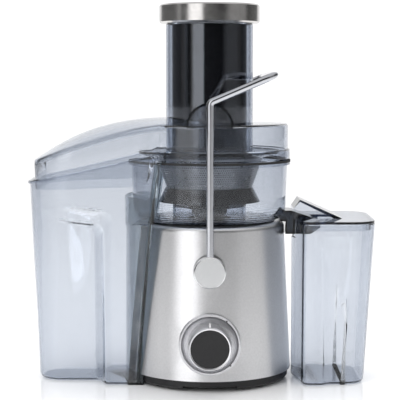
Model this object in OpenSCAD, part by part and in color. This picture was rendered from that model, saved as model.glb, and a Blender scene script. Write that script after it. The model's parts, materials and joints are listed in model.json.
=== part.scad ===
// Centrifugal juicer: motor base, spinning filter basket, clear bowl and lid,
// pulp bin, juice jug and chrome locking arm.
// Millimetres, +Z up. The origin is on the motor axis, on the surface it stands on.
// -Y is the front with the dial, -X the pulp bin, +X the juice jug.

/* [Motor base] */
// Radius of the base at its lower edge
base_r_low = 87.5; // [84:0.5:100]
// Radius of the base below its shoulder
base_r_high = 80.2; // [78:0.1:90]
// Height of the base's top face
base_top = 170; // [165:1:210]
// Height of the base's lower edge
base_low = 12; // [10:0.5:16]
// Wall of the base housing
base_wall = 2.6; // [2:0.1:4]
// Radius of the shoulder round the top
shoulder_r = 5; // [2:0.5:8]
// How far the plinth stands back under the housing
plinth_step = 3; // [1:0.5:6]
// Radius of a rubber foot
foot_r = 9; // [6:0.5:12]
// Height of a rubber foot
foot_h = 4; // [3:0.5:6]
// Distance of each foot from the motor axis
foot_place = 68; // [55:1:70]

/* [Dial] */
// Height of the dial's axis
dial_z = 50.5; // [48:0.5:60]
// Radius of the dished surround
dish_r = 32; // [28:0.5:36]
// Radius of the knob
knob_r = 22.5; // [18:0.5:23]
// How far the knob stands out of the dish
knob_out = 28; // [18:1:34]
// Radius of the dial's shaft
dial_shaft_r = 3; // [2.5:0.5:4]

/* [Bowl] */
// Outer radius of the bowl at its rim
bowl_r = 83.4; // [80:0.1:92]
// Height of the bowl's wall above the base
bowl_h = 61; // [55:1:75]
// Wall of the bowl
bowl_wall = 2.4; // [2:0.1:3]
// Radius of the turn between the bowl's wall and floor
bowl_turn = 15; // [10:1:18]
// Radius of the tower in the middle of the bowl
tower_r = 39.5; // [34:0.5:42]
// Height of the tower
tower_h = 17; // [12:1:19]
// How far the rim stands out of the bowl's wall
rim_out = 3.2; // [2:0.1:4]
// Thickness of the seal between bowl and base
gasket_t = 1.2; // [0.8:0.1:2]

/* [Lid and feed chute] */
// Height of the lid above the bowl's rim
lid_h = 38; // [32:1:48]
// Wall of the lid
lid_wall = 2.2; // [1.8:0.1:3]
// Outer radius of the feed chute
chute_r = 46.5; // [44:0.1:49]
// Wall of the feed chute
chute_wall = 3.2; // [2.5:0.1:4]
// Height of the chute above the lid
chute_h = 105.6; // [80:0.1:120]
// Radius of the arched saddle in front of and behind the chute
saddle_r = 24; // [18:1:28]

/* [Pusher] */
// Gap between the pusher and the chute, on the radius
pusher_gap = 2.9; // [1:0.1:4]
// Radius of the steel cap
cap_r = 53.5; // [50:0.5:60]
// Height of the steel cap
cap_h = 20; // [14:1:26]

/* [Locking arm] */
// Height of the arm's pivot
pivot_z = 126; // [118:1:132]
// Radius of the round pivot hub
hub_r = 16.2; // [12:0.1:18]
// Radius of the arm's rod
rod_r = 3.8; // [3:0.1:4.5]
// Distance of each leg from the middle of the juicer
leg_y = 91.4; // [91:0.1:104]
// Slope of the bent part of the arm
bend_angle = 23; // [10:1:35]
// Length of the bent part of the arm
bend_len = 75.5; // [66:0.5:84]
// Width of the grip bar
grip_w = 13.5; // [10:0.5:20]
// Radius of the pivot pin
pin_r = 5; // [4:0.5:6]

/* [Basket] */
// Radius of the flared rim
flare_r = 75; // [66:0.5:77]
// Radius of the mesh cone at its top
mesh_r_high = 57.5; // [52:0.5:62]
// Radius of the mesh cone at its foot
mesh_r_low = 46; // [45:0.5:50]
// Thickness of the mesh
mesh_t = 0.9; // [0.6:0.1:1.5]

/* [Pulp bin] */
// Distance from the motor axis to the far end of the bin
bin_end = 190.5; // [170:0.5:210]
// Half width of the bin at its rim
bin_half_high = 75; // [66:0.5:80]
// Half width of the bin at its floor
bin_half_low = 49; // [40:0.5:60]
// Half width of the gripped part at the floor
grip_half_low = 28; // [22:0.5:36]
// Wall of the bin
bin_wall = 2.2; // [1.8:0.1:3]
// How far the floor's end stands in from the rim's end
bin_lean = 7; // [3:0.5:12]
// How far the rim lies below the lid at the far end
bin_rim_drop = 21.5; // [18:0.5:30]
// How far the rim rises past the lid's lower edge beside the bowl
bin_rim_rise = 10; // [4:0.5:18]
// Radius of the far corners at the rim
bin_corner_high = 48; // [40:1:60]
// Radius of the far corners at the floor
bin_corner_low = 26; // [16:1:28]
// How far the curved wall that faces the base stays below the far rim
bin_inner_drop = 17; // [10:1:60]
// Height of the ledge above the gripped part
grip_top = 171; // [120:1:180]

/* [Juice jug] */
// Distance from the motor axis to the jug's nearest point
jug_near = 88.5; // [88.2:0.1:100]
// Length of the jug at its rim, away from the base
jug_len = 85.5; // [70:0.5:100]
// Half width of the jug at its rim
jug_half_high = 61; // [50:0.5:70]
// Half width of the jug at its floor
jug_half_low = 54; // [44:0.5:64]
// How far the jug's rim lies below the bowl
jug_drop = 0.2; // [0:0.1:3]
// Wall of the jug
jug_wall = 2.2; // [1.8:0.1:3]
// Thickness of the jug's lid
jug_lid_t = 2.6; // [2:0.1:4]
// Height of the lid's spout cover above the lid
cover_h = 20; // [18:1:30]
// Half width of the juice spout
spout_half = 17.5; // [12:0.5:19]

/* [Clearances] */
// Running clearance of a shaft in its bore, on the radius
running = 0.05; // [0.02:0.01:0.1]
// Gap between parts that lift or slide apart
loose = 0.5; // [0.4:0.1:1]

/* [Hidden] */
$fn = 96;
hull_fn = 32;
eps = 0.01;

// Motor base
plinth_low = 3;
arch_half = 28;
deck_t = 6;
floor_plate_t = 3;
foot_angles = [45, 135, 225, 315];
pocket_gap = 1;
pocket_floor = 78.4;
hub_in = 79;
hub_out = leg_y + rod_r + 1.1;
dish_back = 74;
dish_front = 88.5;
dish_floor = 82.4;
dial_marks_at = [35, 135];

// Bowl, lid and chute
bowl_low = base_top + gasket_t;
bowl_rim = bowl_low + bowl_h;
rim_t = 3.8;
rim_r = bowl_r + rim_out;
lid_low = bowl_rim + rim_t + loose;
lid_top = lid_low + lid_h;
lid_r = bowl_r + 0.8;
lid_flange_h = 11;
chute_low = lid_low - 0.5;
chute_top = lid_top + chute_h;
chute_in = chute_r - chute_wall;
pusher_r = chute_in - pusher_gap;
cap_low = chute_top + 0.4;
bend_z = lid_top + 23.5;

// Rotor and motor
shaft_r = 5;
shaft_low = 20;
shaft_top = bowl_low + 14.8;
coupling_r = 20;
coupling_low = bowl_low + 2;
hub_skirt_low = bowl_low + tower_h + 3;
mesh_low = hub_skirt_low + 15;
mesh_top = lid_low + 2;
grater_z = mesh_low - 2.5;
pusher_low = grater_z + 8;
bracket_low_z = 26;
bracket_high_z = 136;
stator_low = 58;
stator_h = 40;
stator_r = 44;
armature_r = 24;
commutator_z = 108;
fan_z = 40;
mount_place = 50;

// Pulp bin
bin_low = 0.6;
bin_rim_far = lid_low - bin_rim_drop;
bin_rim_near = lid_low + bin_rim_rise;
bin_inner_h = bin_rim_far - bin_inner_drop;
bin_side_end = 47;
hug_r = base_r_low + 1.2;
rim_slope = atan((bin_rim_near - bin_rim_far) / (bin_end - bin_side_end));
grip_x = -115;
grip_half_high = 52;
lip_out = 2;
lip_t = 3;

bin_form_top = bin_rim_near + 10;
bin_corner_floor = 1.5 * bin_corner_low;

// How far up the bin's leaning walls a height lies, from 0 at the floor
function bin_share(z) = (z - bin_low) / (bin_form_top - bin_low);
// The bin's half width, far end and corner radius at a height
function bin_wide(z) = bin_half_low + (bin_half_high + 1 - bin_half_low) * bin_share(z);
function bin_far(z) = bin_end - bin_lean + (bin_lean + 0.3) * bin_share(z);
function bin_round(z) = bin_corner_floor + (bin_corner_high - bin_corner_floor) * bin_share(z);
// Half width of the bin at a distance from the axis and a height, set in by a gap
function bin_half(x, z, inset) =
  let (past = max(0, x - bin_far(z) + bin_round(z)))
  bin_wide(z) - bin_round(z) + sqrt(max(0, pow(bin_round(z) - inset, 2) - past * past));

// Hood of the lid: distance from the axis, and how far the crease and the crown
// lie below the top of the round lid that it grows out of
skirt_low = bin_rim_far - 8;
skirt_rise = 0.04;
hood_inside = bin_wall + 2.8;
hood_end = bin_far(skirt_low) - hood_inside - 1;
hood_rows = [
  [hood_end, 37.5, 36.5],
  [hood_end - 3, 36.5, 33],
  [hood_end - 13, 32.5, 25],
  [hood_end - 30, 26, 15],
  [hood_end - 56, 17, 5.5],
  [hood_end - 86, 9, -1],
  [hood_end - 114, 3, -5],
  [56, 0, -7.5],
  [10, 0, -6.5]
];
// Where the hood's crown dies out, and its half width there
hood_tail = -48;
hood_tail_half = 52;

// Juice jug
jug_low = 0.6;
jug_h = bowl_low - jug_drop;
jug_far = jug_near + jug_len;
jug_lean = 10;
jug_grip_x = 128;
jug_grip_top = 138;
jug_grip_in = 8;
notch_half = spout_half + 3;
cover_half = notch_half + 3;
cover_len = 52;
cover_wall = 1.8;
spout_low = bowl_low - 14.2;
spout_top = bowl_low + 10.8;
spout_tip = bowl_low + 0.8;
notch_low = spout_low - 3.5;
spout_end = 118;
spout_wall = 2;

// ---------------------------------------------------------------- helpers

// A ring or tube standing on z
module tube(outer, inner, low, high) {
  translate([0, 0, low])
    difference() {
      cylinder(r = outer, h = high - low);
      translate([0, 0, -1]) cylinder(r = inner, h = high - low + 2);
    }
}

// A cylinder along Y whose ends are y = from and y = to, at height z
module rod_y(r, from, to, z) {
  translate([0, to, z]) rotate([90, 0, 0]) cylinder(r = r, h = to - from);
}

// Copies a part to the front and to the rear
module front_and_rear() {
  children();
  mirror([0, 1, 0]) children();
}

// Radius of the base housing at a height
function base_r(z) = base_r_low + (base_r_high - base_r_low) * (z - base_low) / (base_top - shoulder_r - base_low);

// Points of a quarter turn about [x, y] from angle a to b
function turn(x, y, r, a, b, n = 8) = [for (i = [0:n]) let (t = a + (b - a) * i / n) [x + r * cos(t), y + r * sin(t)]];

// ---------------------------------------------------------------- motor base

// Solid of revolution of the base, set in by a wall
module base_form(inset) {
  rotate_extrude()
    polygon(concat(
      [[0, base_low - (inset > 0 ? 1 : 0)]],
      [[base_r_low - inset, base_low - (inset > 0 ? 1 : 0)]],
      turn(base_r_high - shoulder_r, base_top - shoulder_r, shoulder_r - inset, 0, 90),
      [[0, base_top - inset]]
    ));
}

module base_housing() {
  color([0.78, 0.78, 0.79])
    difference() {
      union() {
        difference() {
          base_form(0);
          base_form(base_wall);
        }
        intersection() {
          base_form(0);
          front_and_rear()
            rod_y(hub_r + pocket_gap + 2.5, -base_r_low, -pocket_floor + 3, pivot_z);
        }
      }
      // pockets for the arm's hubs, and the pins' holes
      front_and_rear() {
        rod_y(hub_r + pocket_gap, -base_r_low - 5, -pocket_floor, pivot_z);
        rod_y(pin_r, -base_r_low, -60, pivot_z);
      }
      rod_y(dish_r, -base_r_low - 5, -dish_back + 6, dial_z);
      rod_y(7, 70, base_r_low + 5, 30);
      translate([0, 0, base_top - base_wall - 1]) cylinder(r = 62, h = base_wall + 2);
    }
}

module plinth() {
  color([0.05, 0.05, 0.055])
    difference() {
      rotate_extrude()
        polygon([
          [base_r_low - plinth_step - 6, plinth_low],
          [base_r_low - plinth_step - 1.5, plinth_low],
          [base_r_low - plinth_step, plinth_low + 1.5],
          [base_r_low - plinth_step, base_low],
          [base_r_low - plinth_step - 6, base_low]
        ]);
      // shallow arch between the front feet
      translate([-arch_half, -base_r_low, 0]) cube([2 * arch_half, base_r_low / 2, plinth_low + 3]);
    }
}

module bottom_cover() {
  color([0.07, 0.07, 0.075])
    difference() {
      translate([0, 0, foot_h]) cylinder(r = base_r_low - plinth_step - 6, h = floor_plate_t);
      // cooling slots
      for (i = [-4:4])
        translate([i * 8 - 1.5, -26, foot_h - 1]) cube([3, 52, floor_plate_t + 2]);
      for (a = foot_angles)
        rotate(a) translate([foot_place - 16, 0, foot_h - 1]) cylinder(r = 2, h = floor_plate_t + 2);
    }
}

module feet() {
  color([0.03, 0.03, 0.03])
    for (a = foot_angles)
      rotate(a) translate([foot_place, 0, 0]) {
        cylinder(r1 = foot_r - 1, r2 = foot_r, h = 1);
        translate([0, 0, 1]) cylinder(r = foot_r, h = foot_h - 1);
      }
}

module top_deck() {
  color([0.06, 0.06, 0.065])
    difference() {
      union() {
        translate([0, 0, base_top - base_wall - deck_t]) cylinder(r = base_r_high - shoulder_r - 3, h = deck_t);
        translate([0, 0, base_top - base_wall]) cylinder(r = 62, h = base_wall);
      }
      translate([0, 0, base_top - 20]) cylinder(r = 11, h = 40);
    }
}

module deck_gasket() {
  color([0.04, 0.04, 0.04]) tube(70, 56, base_top, base_top + gasket_t);
}

module shaft_seal() {
  color([0.08, 0.08, 0.08])
    tube(11, shaft_r + running, base_top - base_wall - deck_t, base_top);
}

// ---------------------------------------------------------------- motor

// A bearing bracket: a ring with four arms
module bracket(z, t) {
  difference() {
    union() {
      translate([0, 0, z]) cylinder(r = 22, h = t);
      for (a = [45:90:315])
        rotate(a) translate([20, -6, z]) cube([mount_place - 20, 12, t]);
      for (a = [45:90:315])
        rotate(a) translate([mount_place, 0, z]) cylinder(r = 8, h = t);
    }
    translate([0, 0, z - 1]) cylinder(r = 13, h = t + 2);
    for (a = [45:90:315])
      rotate(a) translate([mount_place, 0, z - 1]) cylinder(r = 2.5, h = t + 2);
  }
}

module motor_top_bracket() {
  color([0.7, 0.71, 0.72]) bracket(bracket_high_z, 8);
}

module motor_bottom_bracket() {
  color([0.7, 0.71, 0.72]) bracket(bracket_low_z, 8);
}

module bearing(z) {
  tube(13, shaft_r + running, z, z + 8);
}

module upper_bearing() {
  color([0.75, 0.76, 0.78]) bearing(bracket_high_z);
}

module lower_bearing() {
  color([0.75, 0.76, 0.78]) bearing(bracket_low_z);
}

module stator_core() {
  color([0.42, 0.43, 0.45])
    difference() {
      intersection() {
        translate([0, 0, stator_low]) cylinder(r = stator_r, h = stator_h);
        translate([-stator_r, -36, stator_low]) cube([2 * stator_r, 72, stator_h]);
      }
      translate([0, 0, stator_low - 1]) cylinder(r = armature_r + 1, h = stator_h + 2);
      // windows for the field coils
      for (side = [-1, 1])
        translate([-17, side * 27 - 3, stator_low - 1]) cube([34, 6, stator_h + 2]);
    }
}

module field_coils() {
  color([0.72, 0.38, 0.16])
    for (side = [-1, 1])
      difference() {
        translate([-17, side * 27 - 3, stator_low - 6]) cube([34, 6, stator_h + 12]);
        translate([-11, side * 27 - 4, stator_low + 2]) cube([22, 8, stator_h - 4]);
      }
}

module brush_holders() {
  color([0.8, 0.62, 0.3])
    for (side = [0, 180])
      rotate(side)
        difference() {
          translate([17, -6, commutator_z + 1]) cube([24, 12, 12]);
          translate([16, -3.5, commutator_z + 3.5]) cube([26, 7, 7]);
        }
}

module carbon_brushes() {
  color([0.12, 0.12, 0.12])
    for (side = [0, 180])
      rotate(side) translate([13, -3.4, commutator_z + 3.6]) cube([18, 6.8, 6.8]);
}

module motor_mounts() {
  color([0.05, 0.05, 0.05])
    for (a = [45:90:315])
      rotate(a) translate([mount_place, 0, 0])
        difference() {
          translate([0, 0, foot_h + floor_plate_t]) cylinder(r = 8, h = bracket_low_z - foot_h - floor_plate_t);
          cylinder(r = 2.5, h = bracket_low_z + 1);
        }
}

module bracket_screws() {
  color([0.75, 0.75, 0.76])
    for (a = [45:90:315])
      rotate(a) translate([mount_place, 0, 0]) {
        translate([0, 0, bracket_low_z - 10]) cylinder(r = 2.5, h = bracket_high_z + 18 - bracket_low_z);
        translate([0, 0, bracket_high_z + 8]) cylinder(r = 4.5, h = 3);
      }
}

module cover_screws() {
  color([0.6, 0.6, 0.62])
    for (a = foot_angles)
      rotate(a) translate([foot_place - 16, 0, foot_h - 1]) {
        cylinder(r = 3.6, h = 1);
        cylinder(r = 2, h = floor_plate_t);
      }
}

module speed_switch() {
  color([0.1, 0.1, 0.11])
    difference() {
      translate([-13, -dish_back + 1, dial_z - 13]) cube([26, 12, 26]);
      rod_y(dial_shaft_r + running, -dish_back, -dish_back + 9, dial_z);
    }
}

module safety_switch() {
  color([0.12, 0.12, 0.13]) {
    translate([-10, -pocket_floor + 5, pivot_z + 22]) cube([20, 10, 12]);
    translate([-2, -pocket_floor + 7, pivot_z + 20]) cube([4, 6, 2]);
  }
}

module cable_gland() {
  color([0.04, 0.04, 0.04])
    difference() {
      union() {
        rod_y(7, base_r(30) - 5, base_r(30) + 4, 30);
        rod_y(9, base_r(30) + 1.2, base_r(30) + 3, 30);
      }
      rod_y(3.5, base_r(30) - 6, base_r(30) + 5, 30);
    }
}

// ---------------------------------------------------------------- dial

// Turns a profile about the dial's axis; its height runs out of the front
module about_dial() {
  translate([0, 0, dial_z]) rotate([90, 0, 0]) rotate_extrude() children();
}

module dial_dish() {
  color([0.82, 0.82, 0.83])
    about_dial()
      polygon(concat(
        [[dial_shaft_r + running, dish_back], [dish_r, dish_back], [dish_r, dish_front - 1], [dish_r - 1, dish_front]],
        turn(knob_r + 0.9, dish_front, dish_front - dish_floor, 0, -90, 6),
        [[dial_shaft_r + running, dish_floor]]
      ));
}

module dial_marks() {
  color([0.12, 0.12, 0.12])
    translate([0, 0, dial_z])
      for (a = dial_marks_at)
        rotate([0, a, 0]) translate([0, -dish_front, dish_r - 1.9]) rotate([90, 0, 0]) cylinder(r = 0.8, h = 0.3);
}

// The inlaid line along the top of the knob
module pointer_line() {
  translate([-0.7, -dish_floor - knob_out + 3, dial_z + knob_r - 1.2]) cube([1.4, knob_out - 8, 1.5]);
}

module dial_knob() {
  front = dish_floor + 0.6 + knob_out;
  color([0.8, 0.8, 0.81])
    difference() {
      about_dial()
        polygon([
          [dial_shaft_r, dish_floor + 0.6],
          [knob_r - 1.2, dish_floor + 0.6],
          [knob_r, dish_floor + 2.5],
          [knob_r - 0.4, front - 1.5],
          [knob_r - 1.5, front],
          [knob_r - 2.8, front - 0.4],
          [knob_r - 2.8, front - 3],
          [dial_shaft_r, front - 3]
        ]);
      pointer_line();
    }
}

module dial_face() {
  front = dish_floor + 0.6 + knob_out;
  color([0.03, 0.03, 0.03])
    about_dial()
      polygon([
        [0, front - 3],
        [knob_r - 2.8, front - 3],
        [knob_r - 2.8, front - 0.9],
        [knob_r - 3.4, front - 0.4],
        [0, front - 0.4]
      ]);
}

module dial_pointer() {
  color([0.95, 0.95, 0.95]) pointer_line();
}

module dial_shaft() {
  color([0.7, 0.7, 0.7])
    rod_y(dial_shaft_r, -dish_floor - 0.6 - knob_out + 3, -dish_back + 8, dial_z);
}

// ---------------------------------------------------------------- bowl

// Section of the bowl's wall and floor, set in by a wall
function bowl_section(inset) = concat(
  [[0, bowl_low + inset]],
  turn(bowl_r - 1.4 - bowl_turn, bowl_low + bowl_turn, bowl_turn - inset, -90, 0),
  [[bowl_r - inset, bowl_rim + (inset > 0 ? 10 : 0)]],
  [[0, bowl_rim + (inset > 0 ? 10 : 0)]]
);

module filter_bowl() {
  color([0.75, 0.8, 0.85, 0.4])
    difference() {
      union() {
        rotate_extrude()
          difference() {
            union() {
              polygon(bowl_section(0));
              translate([bowl_r - 6, bowl_rim - 1]) square([rim_r - bowl_r + 6, rim_t - 1.2]);
            }
            polygon(bowl_section(bowl_wall));
          }
        tube(tower_r, tower_r - bowl_wall, bowl_low + bowl_wall - eps, bowl_low + tower_h);
        tube(tower_r, coupling_r + 5, bowl_low + tower_h - bowl_wall, bowl_low + tower_h);
      }
      // hole for the coupling, and the way out for the juice
      translate([0, 0, bowl_low - 1]) cylinder(r = coupling_r + 4, h = bowl_wall + 2);
      translate([tower_r + 12, -spout_half + spout_wall, bowl_low + bowl_wall])
        cube([60, 2 * (spout_half - spout_wall), spout_top - spout_wall - bowl_low - bowl_wall]);
      translate([bowl_r - 9, -spout_half, spout_low]) cube([20, 2 * spout_half, spout_top - spout_low]);
    }
}

module bowl_seal() {
  color([0.1, 0.1, 0.11]) tube(rim_r + 0.2, bowl_r - 2, bowl_rim + rim_t - 2.2, bowl_rim + rim_t);
}

// Side view of the spout as x and z: it hangs in front of the base and reaches
// over its shoulder to the bowl; set in by a wall, with its far end at a distance
module spout_side(wall, end) {
  foot = base_r(spout_low) + loose + wall;
  polygon([
    [foot, spout_low + wall],
    [end - 10, spout_low + wall],
    [end, spout_low + wall + 7],
    [end, spout_tip - wall],
    [bowl_r + 4, spout_top - wall],
    [bowl_r - 9, spout_top - wall],
    [bowl_r - 9, base_top + 0.4 + wall],
    [foot, base_top + 0.4 + wall]
  ]);
}

module juice_spout() {
  color([0.16, 0.17, 0.18, 0.8])
    difference() {
      rotate([90, 0, 0])
        translate([0, 0, -spout_half]) linear_extrude(2 * spout_half) spout_side(0, spout_end);
      // channel, open at its far end
      rotate([90, 0, 0])
        translate([0, 0, spout_wall - spout_half]) linear_extrude(2 * (spout_half - spout_wall))
          spout_side(spout_wall, spout_end + 12);
      // seat round the bowl's wall
      rotate_extrude() polygon(bowl_section(0));
    }
}

// ---------------------------------------------------------------- rotor

module motor_shaft() {
  color([0.8, 0.8, 0.82])
    translate([0, 0, shaft_low]) cylinder(r = shaft_r, h = shaft_top - shaft_low);
}

module armature_core() {
  color([0.4, 0.41, 0.43])
    difference() {
      tube(armature_r, shaft_r, stator_low + 2, stator_low + stator_h - 2);
      for (a = [0:30:330])
        rotate(a) translate([armature_r - 5, -1.5, stator_low]) cube([10, 3, stator_h]);
    }
}

module armature_windings() {
  color([0.75, 0.4, 0.18]) {
    tube(armature_r - 4, shaft_r, stator_low - 5, stator_low + 2);
    tube(armature_r - 4, shaft_r, stator_low + stator_h - 2, stator_low + stator_h + 5);
  }
}

module commutator() {
  color([0.8, 0.5, 0.25])
    difference() {
      tube(12.5, shaft_r, commutator_z, commutator_z + 14);
      for (a = [0:15:345])
        rotate(a) translate([11.3, -0.35, commutator_z - 1]) cube([3, 0.7, 16]);
    }
}

module cooling_fan() {
  color([0.15, 0.15, 0.16]) {
    tube(11, shaft_r, fan_z, fan_z + 10);
    tube(36, 10, fan_z, fan_z + 1.6);
    for (a = [0:36:324])
      rotate(a) translate([10.5, -0.8, fan_z + 1.6]) cube([25, 1.6, 8]);
  }
}

module drive_coupling() {
  color([0.08, 0.08, 0.085])
    difference() {
      union() {
        tube(coupling_r - 4, shaft_r, coupling_low, shaft_top);
        for (a = [0:60:300])
          rotate(a) translate([coupling_r - 5, 0, coupling_low + 4])
            cylinder(r = 4, h = shaft_top - coupling_low - 6);
      }
      translate([0, 0, coupling_low - 1]) cylinder(r = shaft_r, h = 40);
    }
}

module basket_hub() {
  color([0.09, 0.09, 0.1])
    difference() {
      rotate_extrude()
        polygon([
          [0, mesh_low - 3],
          [0, mesh_low - 6.5],
          [mesh_r_low - 6, mesh_low - 6.5],
          [mesh_r_low + 6, hub_skirt_low],
          [mesh_r_low + 8.5, hub_skirt_low],
          [mesh_r_low + 1, mesh_low],
          [mesh_r_low - 3, mesh_low],
          [mesh_r_low - 3, mesh_low - 3]
        ]);
      translate([0, 0, hub_skirt_low]) cylinder(r = 3, h = 30);
    }
  color([0.09, 0.09, 0.1]) tube(coupling_r + 3, coupling_r - 1, hub_skirt_low - 8, mesh_low - 6);
}

module filter_mesh() {
  color([0.7, 0.71, 0.72])
    rotate_extrude()
      polygon([
        [mesh_r_low - mesh_t, mesh_low],
        [mesh_r_low, mesh_low],
        [mesh_r_high, mesh_top],
        [mesh_r_high - mesh_t, mesh_top]
      ]);
}

module basket_rim() {
  color([0.6, 0.62, 0.64])
    rotate_extrude()
      polygon([
        [mesh_r_high - mesh_t, mesh_top],
        [mesh_r_high + 1, mesh_top],
        [flare_r - 2, mesh_top + 4],
        [flare_r, mesh_top + 5],
        [flare_r, mesh_top + 7.5],
        [flare_r - 1.2, mesh_top + 7.5],
        [flare_r - 3, mesh_top + 6],
        [mesh_r_high, mesh_top + 2.2],
        [mesh_r_high - mesh_t, mesh_top + 2]
      ]);
}

module grater_disc() {
  color([0.78, 0.79, 0.8]) {
    translate([0, 0, mesh_low - 3]) cylinder(r = mesh_r_low - 3, h = 1.2);
    for (ring = [1:5])
      for (a = [0:360 / (6 * ring):359])
        rotate(a + ring * 11) translate([ring * 7.4, 0, mesh_low - 1.8 - eps]) cylinder(r1 = 1, r2 = 0.4, h = 1.5);
  }
}

// ---------------------------------------------------------------- locking arm

// One leg: straight up beside the lid, then bent over towards the jug
module arm_leg() {
  translate([0, -leg_y, pivot_z + 9]) cylinder(r = rod_r, h = bend_z - pivot_z - 9);
  translate([0, -leg_y, bend_z]) sphere(r = rod_r + 0.2);
  translate([0, -leg_y, bend_z]) rotate([0, 90 - bend_angle, 0]) cylinder(r = rod_r, h = bend_len);
}

module arm_leg_front() {
  color([0.86, 0.87, 0.88]) arm_leg();
}

module arm_leg_rear() {
  color([0.86, 0.87, 0.88]) mirror([0, 1, 0]) arm_leg();
}

module arm_grip_bar() {
  half = leg_y - rod_r;
  color([0.86, 0.87, 0.88])
    translate([0, 0, bend_z]) rotate([0, 90 - bend_angle, 0]) translate([0, 0, bend_len - grip_w / 2]) {
      translate([-rod_r, -half, -grip_w / 2 + rod_r]) cube([2 * rod_r, 2 * half, grip_w - 2 * rod_r]);
      for (z = [-grip_w / 2 + rod_r, grip_w / 2 - rod_r])
        rod_y(rod_r, -half, half, z);
    }
}

module pivot_hub() {
  difference() {
    translate([0, -hub_in, pivot_z]) rotate([90, 0, 0]) {
      cylinder(r = hub_r, h = hub_out - hub_in - 1);
      translate([0, 0, hub_out - hub_in - 1]) cylinder(r1 = hub_r, r2 = hub_r - 1, h = 1);
    }
    rod_y(pin_r + running, -leg_y + 2, -hub_in + 1, pivot_z);
    translate([0, -leg_y, pivot_z + 9]) cylinder(r = rod_r, h = 30);
  }
}

module pivot_hub_front() {
  color([0.85, 0.86, 0.87]) pivot_hub();
}

module pivot_hub_rear() {
  color([0.85, 0.86, 0.87]) mirror([0, 1, 0]) pivot_hub();
}

module pivot_pins() {
  color([0.6, 0.6, 0.62])
    front_and_rear() {
      rod_y(pin_r, -leg_y + 2.6, -pocket_floor + 6, pivot_z);
      rod_y(pin_r + 3, -pocket_floor + 3, -pocket_floor + 6, pivot_z);
    }
}

// ---------------------------------------------------------------- lid

// One slice across the hood: half widths and heights of its lower edge and its crease, and its crown
module hood_slice(x, half_low, low, half, crease, crown) {
  translate([x, 0, 0]) rotate([90, 0, 90])
    linear_extrude(0.02)
      polygon(concat(
        [[-half_low, low], [half_low, low]],
        [for (i = [0:8]) let (y = half * (1 - i / 4)) [y, crease + (crown - crease) * (1 - pow(y / half, 2))]]
      ));
}

// The hood's arched solid, set in by a wall
module hood_form(inset) {
  hull() {
    for (row = hood_rows) {
      x = row[0] - (row[0] > 100 ? inset : 0);
      low = row[0] > 60 ? skirt_low + skirt_rise * (hood_end - row[0]) : lid_low + 2;
      crease = lid_top - row[1];
      hood_slice(
        -x,
        bin_half(x, low, hood_inside + inset), low - (inset > 0 ? 3 : 0),
        bin_half(x, crease, hood_inside + inset), crease - inset,
        lid_top - row[2] - inset
      );
    }
    hood_slice(
      -hood_tail,
      hood_tail_half - inset, lid_low + 2,
      hood_tail_half - inset, lid_top - 0.2 - inset,
      lid_top - inset
    );
  }
}

// The round part of the lid
module dome_form(inset) {
  rotate_extrude()
    polygon(concat(
      [[0, lid_low - (inset > 0 ? 1 : 0)], [lid_r - inset, lid_low - (inset > 0 ? 1 : 0)]],
      turn(lid_r - 3.5, lid_top - 3.5, 3.5 - inset, 0, 90, 4),
      [[0, lid_top - inset]]
    ));
}

module saddle() {
  difference() {
    rod_y(saddle_r, -lid_r + 4, -chute_r + 8, lid_top);
    rod_y(saddle_r - lid_wall, -lid_r + 4 + lid_wall, 0, lid_top);
    translate([-40, -lid_r, lid_top - 60]) cube([80, lid_r, 60]);
    cylinder(r = chute_r, h = lid_top + 60);
  }
}

module lid_cover() {
  color([0.75, 0.8, 0.85, 0.4]) {
    difference() {
      union() {
        dome_form(0);
        translate([0, 0, lid_low]) cylinder(r = rim_r - 0.4, h = lid_flange_h);
        hood_form(0);
      }
      dome_form(lid_wall);
      hood_form(lid_wall);
      translate([0, 0, skirt_low - 10]) cylinder(r = hug_r + bin_wall + 0.8, h = lid_low - skirt_low + 10);
      translate([0, 0, lid_low]) cylinder(r = chute_r, h = lid_h + 30);
    }
    front_and_rear() saddle();
  }
}

module feed_chute() {
  color([0.75, 0.8, 0.85, 0.4])
    difference() {
      rotate_extrude()
        polygon([
          [chute_in, chute_low],
          [chute_r, chute_low],
          [chute_r, chute_top - 1],
          [chute_r - 1, chute_top],
          [chute_in + 0.5, chute_top],
          [chute_in, chute_top - 0.5]
        ]);
    }
}

module pusher_body() {
  color([0.02, 0.02, 0.022])
    rotate_extrude()
      polygon([
        [0, pusher_low],
        [pusher_r - 2, pusher_low],
        [pusher_r, pusher_low + 2],
        [pusher_r, cap_low],
        [0, cap_low]
      ]);
}

module pusher_cap() {
  color([0.6, 0.59, 0.58])
    rotate_extrude()
      polygon([
        [0, cap_low],
        [cap_r - 1.6, cap_low],
        [cap_r, cap_low + 1.6],
        [cap_r, cap_low + cap_h - 1.6],
        [cap_r - 1.6, cap_low + cap_h],
        [0, cap_low + cap_h]
      ]);
}

// ---------------------------------------------------------------- pulp bin

// A round-ended outline, thin, from the far end to past the base
module bin_slice(z, end, half, round, inset) {
  for (side = [-1, 1])
    translate([-end + round, side * (half - round), z]) cylinder(r = round - inset, h = 0.02, $fn = hull_fn);
  translate([-bin_side_end, -half + inset, z]) cube([12, 2 * (half - inset), 0.02]);
}

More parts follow.
